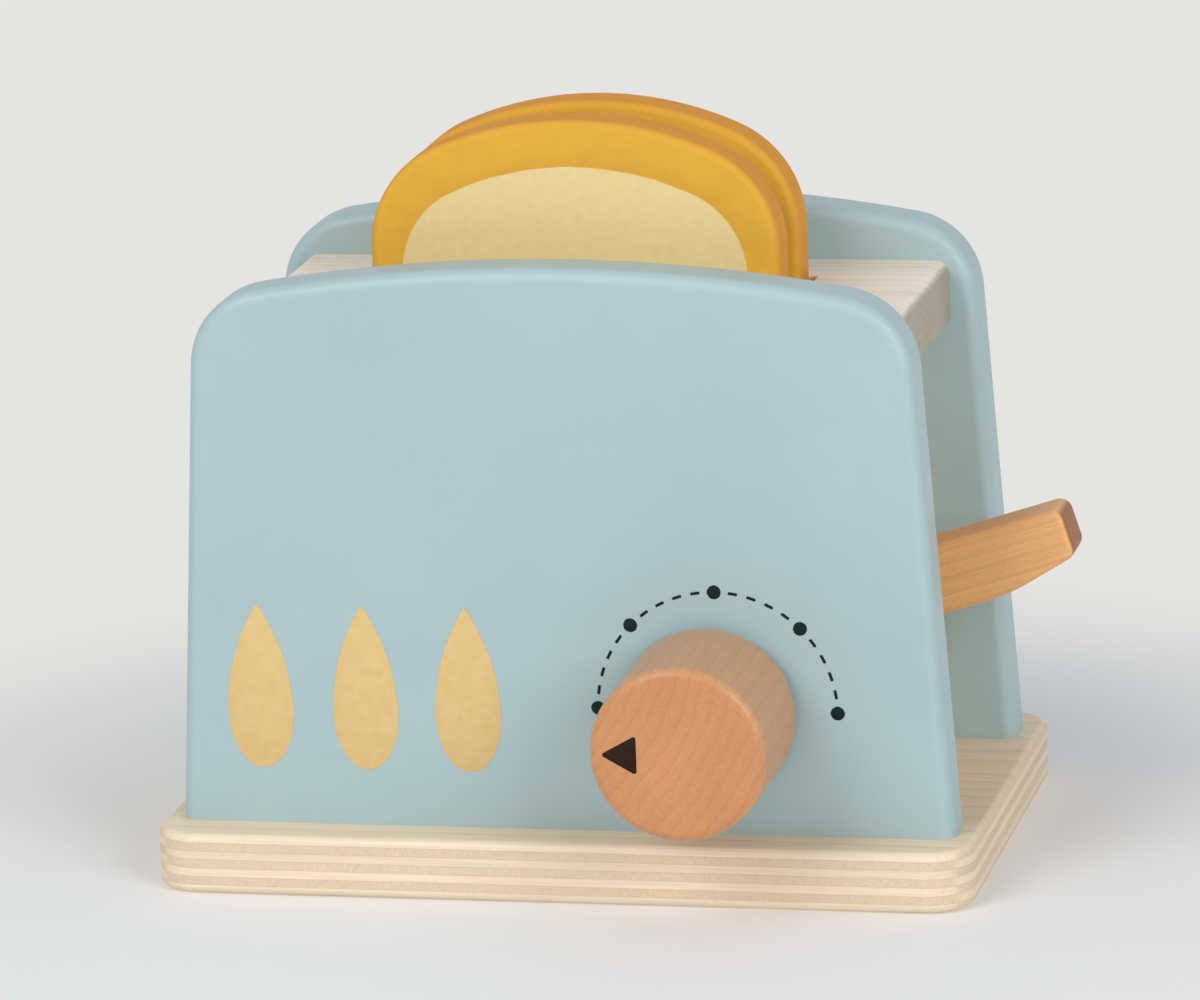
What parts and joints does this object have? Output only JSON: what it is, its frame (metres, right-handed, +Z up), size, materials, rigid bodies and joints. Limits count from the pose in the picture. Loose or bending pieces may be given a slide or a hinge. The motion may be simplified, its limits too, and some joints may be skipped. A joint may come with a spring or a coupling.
{
  "type": "toy toaster",
  "caption": "Wooden toy toaster with painted panels, a plywood base, a rocking lever that lifts the toast slices, and a turning knob.",
  "frame": {"origin": "centre of the base board's underside", "axes": "+X to the lever side, +Y to the back, +Z up"},
  "size_m": [0.1776, 0.1268, 0.1478],
  "materials": {
    "plywood": "birch plywood, clear matt varnish, layered edge",
    "blue_paint": "smooth satin light blue paint on wood",
    "pale_wood": "pale close-grained wood, sanded, clear matt varnish",
    "beech": "warm beech, sanded, clear satin varnish",
    "dowel_wood": "turned beech dowel, unfinished",
    "toast_paint": "satin amber and cream paint on wood",
    "felt": "pressed wool felt",
    "screw_steel": "zinc-plated steel",
    "dark_print": "thin dark screen print",
    "yellow_print": "thin yellow screen print"
  },
  "bodies": {
    "shell": {"base_board": "plywood", "front_panel": "blue_paint", "back_panel": "blue_paint", "left_side_wall": "pale_wood", "right_side_wall": "pale_wood", "top_plate": "pale_wood", "chute_front_board": "plywood", "chute_back_board": "plywood", "chute_left_end": "pale_wood", "chute_right_end": "pale_wood", "carriage_ledge_front": "pale_wood", "carriage_ledge_back": "pale_wood", "lever_pivot_pin": "dowel_wood", "pivot_spacer_front": "dowel_wood", "pivot_spacer_back": "dowel_wood", "knob_washer": "felt", "base_screws": "screw_steel", "wall_dowels": "dowel_wood", "plate_dowels": "dowel_wood"},
    "lever": {"lever": "beech"},
    "carriage": {"carriage_platform": "plywood", "carriage_rib": "pale_wood", "carriage_foot": "beech"},
    "slice_front": {"toast_front": "toast_paint"},
    "slice_back": {"toast_back": "toast_paint"},
    "knob": {"knob": "beech", "knob_axle": "dowel_wood", "knob_collar": "dowel_wood", "knob_screw": "screw_steel"}
  },
  "joints": [
    {"name": "lever_rock", "type": "hinge", "parent": "shell", "child": "lever", "pos_m": [0.04, 0, 0.0452], "axis": [0, 1, 0], "range_deg": [0, 35]},
    {"name": "carriage_lift", "type": "slide", "parent": "shell", "child": "carriage", "axis": [0, 0, 1], "range_m": [0, 0.02297]},
    {"name": "slice_front_lift", "type": "slide", "parent": "carriage", "child": "slice_front", "axis": [0, 0, 1], "range_m": [0, 0.07]},
    {"name": "slice_back_lift", "type": "slide", "parent": "carriage", "child": "slice_back", "axis": [0, 0, 1], "range_m": [0, 0.07]},
    {"name": "knob_turn", "type": "hinge", "parent": "shell", "child": "knob", "pos_m": [0.0303, -0.042, 0.0369], "axis": [0, 1, 0], "range_deg": [0, 180]}
  ],
  "couplings": [
    {"joint": "lever_rock", "follows": "carriage_lift", "rad_per_m": 26.59}
  ]
}
